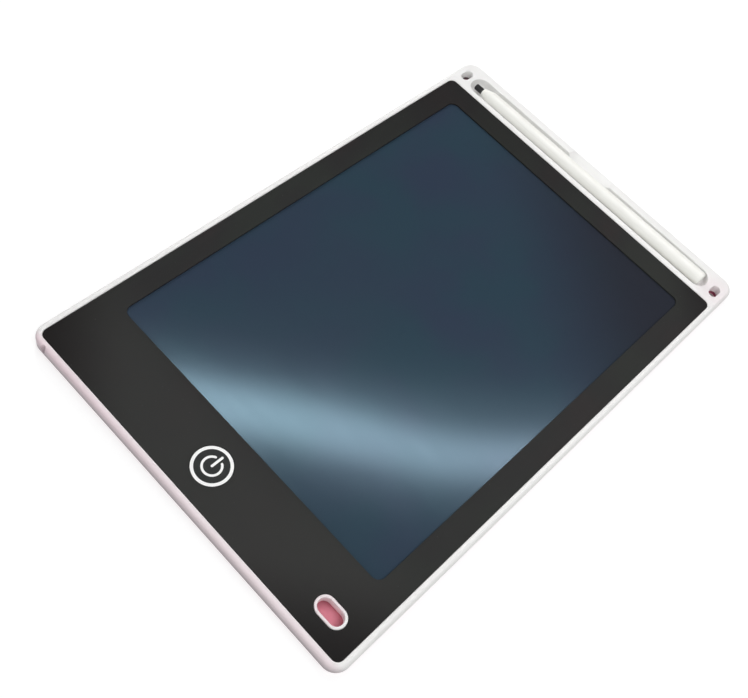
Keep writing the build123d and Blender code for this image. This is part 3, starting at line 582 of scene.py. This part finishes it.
# Stylus: a glossy white polypropylene barrel and tail plug, with faint flow lines along it from the mould,
# and a black acetal nib pressed into its mouth.
stylus_tone = tone(250, 250, 245)
stylus_shade_tone = tone(246, 246, 240)
stylus_finish = Finish("white_polypropylene", {"IOR": 1.49})
flow = stylus_finish.noise(size=0.0005, detail=2.0, stretch=(50.0, 1.0, 1.0))
stylus_cloud = stylus_finish.noise(size=0.012, detail=2.0)
stylus_finish.feed("Base Color", stylus_finish.mix(stylus_cloud, stylus_tone, stylus_shade_tone))
stylus_finish.feed("Roughness", 0.24 + flow * 0.1)
stylus_finish.bump(flow, depth=0.000006)
stylus_finish.dress("stylus_barrel", "stylus_tail_plug")

nib_finish, nib_grain = black_moulding("black_acetal", tone(26, 26, 27), 0.34, grain_size=0.0002)
nib_finish.bump(nib_grain, depth=0.000008)
nib_finish.dress("stylus_nib")

# Floor: a wide white sheet just under the tablet. It is see-through from below, so that the tablet's back
# can be looked at, and glows like an overlit table with the tablet's soft shadow on it, except down in the
# lanyard eyes.
floor_size = 6.0
floor_drop = 0.00005
floor_fade_range = (0.25, 0.8)
touching_reach = 0.0003
eye_half_length = 0.0034
glow_white = (1.0, 1.0, 1.0, 1.0)
glow_near_white = (0.72, 0.72, 0.72, 1.0)
no_glow = (0.0, 0.0, 0.0, 1.0)
floor_grey = (0.35, 0.35, 0.35, 1.0)
bpy.ops.object.select_all(action="DESELECT")
bpy.ops.mesh.primitive_plane_add(size=floor_size, location=(0, 0, -floor_drop))
floor = bpy.context.object
floor.name = "floor"
floor_constants = {"Base Color": floor_grey, "Roughness": 0.9, "Emission Strength": 1.0}
floor_finish = Finish("white_floor", floor_constants)
seen = floor_finish.rays("Is Camera Ray")
seen = seen.most(floor_finish.rays("Is Glossy Ray")).most(floor_finish.rays("Is Transmission Ray"))
for eye_place in eye_places:
    seen = seen * (floor_finish.spot_distance(eye_place) > eye_half_length)
afar = floor_finish.ramp(floor_finish.spot_distance(Vector()), *floor_fade_range)
floor_glow = floor_finish.mix(afar, glow_near_white, glow_white)
floor_finish.feed("Emission Color", floor_finish.mix(seen, no_glow, floor_glow))
backfacing = floor_finish.node("ShaderNodeNewGeometry", {}, {}, "Backfacing")
leaves_tablet = floor_finish.rays("Ray Length") < touching_reach
clear = floor_finish.node("ShaderNodeBsdfTransparent", {}, {})
sheet = Field(floor_finish, floor_finish.shader.outputs[0])
clear_where = backfacing.most(leaves_tablet)
floor_surface = floor_finish.node("ShaderNodeMixShader", {}, {0: clear_where, 1: sheet, 2: clear})
floor_output = floor_finish.tree.nodes["Material Output"]
floor_finish.tree.links.new(floor_surface.socket, floor_output.inputs[0])
floor.data.materials.append(floor_finish.material)


# Studio: a white surround whose light is dim overhead and behind and bright in front, on the right and
# underneath, and two soft lamps, at the back left and over the right side. Two long bent strip lamps, a
# narrow one and a faint wide one above it, make the pale streak that the screen mirrors.
class Surround(Finish):
    """Light from all round, made of nodes in front of the world's background."""

    def __init__(self, name):
        self.world = bpy.data.worlds.new(name)
        self.world.use_nodes = True
        self.tree = self.world.node_tree
        self.shader = self.tree.nodes["Background"]

    def direction(self):
        """How far a ray of light comes from the right, from behind and from above, each from -1 to 1."""
        place = self.node("ShaderNodeTexCoord", {}, {}, "Generated")
        return [self.node("ShaderNodeSeparateXYZ", {}, {0: place}, axis) for axis in range(3)]


surround = Surround("studio")
bpy.context.scene.world = surround.world
surround.shader.inputs["Color"].default_value = glow_white
from_right, from_behind, from_above = surround.direction()
front_glow = surround.ramp(-from_behind, 0.0, 0.5) * surround.ramp(from_above, 0.0, 0.45)
side_glow = surround.ramp(from_right, 0.2, 0.8) * surround.ramp(from_above, -0.1, 0.2)
under_glow = surround.ramp(-from_above, 0.0, 0.3)
back_glow = surround.ramp(from_behind, -0.3, 0.8) * (1.0 - surround.ramp(from_above, 0.15, 0.6))
light = 0.03 + back_glow * 0.1 + side_glow * 0.4 + front_glow * 0.8 + under_glow * 0.8
level_mirrored = surround.rays("Is Glossy Ray") * (1.0 - surround.ramp(abs(from_above), 0.0, 0.2))
looked_at = surround.rays("Is Camera Ray").most(surround.rays("Is Transmission Ray"))
surround.feed("Strength", light.most(looked_at.most(level_mirrored)))

lamp_target = Vector((0.0, 0.03, 0.0))


def soft_box(name, place, size, power):
    """A square lamp that faces the tablet and that no surface mirrors."""
    bpy.ops.object.light_add(type="AREA", location=place)
    lamp = bpy.context.object
    lamp.name = name
    lamp.rotation_euler = (lamp_target - lamp.location).to_track_quat("-Z", "Y").to_euler()
    lamp.data.size = size
    lamp.data.energy = power
    lamp.visible_camera = False
    lamp.visible_glossy = False


soft_box("back_left_box", (-0.9, 0.65, 0.58), size=0.35, power=8.0)
soft_box("right_box", (0.24, -0.04, 0.42), size=0.2, power=0.8)

screen_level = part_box("screen_front_film")[1].z
mirrored_camera = Vector((camera_place.x, camera_place.y, 2 * screen_level - camera_place.z))
strip_left_glow = (0.97, 1.0, 1.0, 1.0)
strip_right_glow = (0.74, 0.68, 0.72, 1.0)
strip_fade_range = (-0.25, 0.08)


def strip_lamp(name, height, streak, thickness, strength):
    """A glowing tube at this height that the screen mirrors along a streak of places and widths."""
    bpy.ops.curve.primitive_nurbs_path_add()
    strip = bpy.context.object
    strip.name = name
    strip.data.splines.clear()
    line = strip.data.splines.new("NURBS")
    line.points.add(len(streak) - 1)
    for point, (x, y, width) in zip(line.points, streak):
        seen_at = Vector((x, y, screen_level))
        beam = seen_at - mirrored_camera
        point.co = (*(seen_at + beam * ((height - screen_level) / beam.z)), 1.0)
        point.radius = width
    line.order_u = 3
    line.use_endpoint_u = True
    strip.data.dimensions = "3D"
    strip.data.bevel_depth = thickness
    glow = Finish(name + "_glow", {"Base Color": no_glow, "Emission Strength": strength})
    rightward = glow.ramp(glow.axes()[0], *strip_fade_range)
    glow.feed("Emission Color", glow.mix(rightward, strip_left_glow, strip_right_glow))
    strip.data.materials.append(glow.material)
    strip.visible_camera = False


streak_core = [(-0.0455, -0.1052, 0.9), (-0.0175, -0.0825, 1.0), (0.0035, -0.0655, 1.0),
               (0.0285, -0.0475, 0.96), (0.0465, -0.0342, 0.92), (0.0615, -0.0175, 0.9),
               (0.0795, 0.0038, 0.9)]
streak_veil = [(0.01, -0.063, 0.6), (0.0285, -0.0475, 0.8), (0.0465, -0.0312, 0.9), (0.0795, 0.006, 0.85)]
strip_lamp("strip_lamp", height=0.6, streak=streak_core, thickness=0.021, strength=13.2)
strip_lamp("strip_veil", height=0.75, streak=streak_veil, thickness=0.085, strength=0.8)
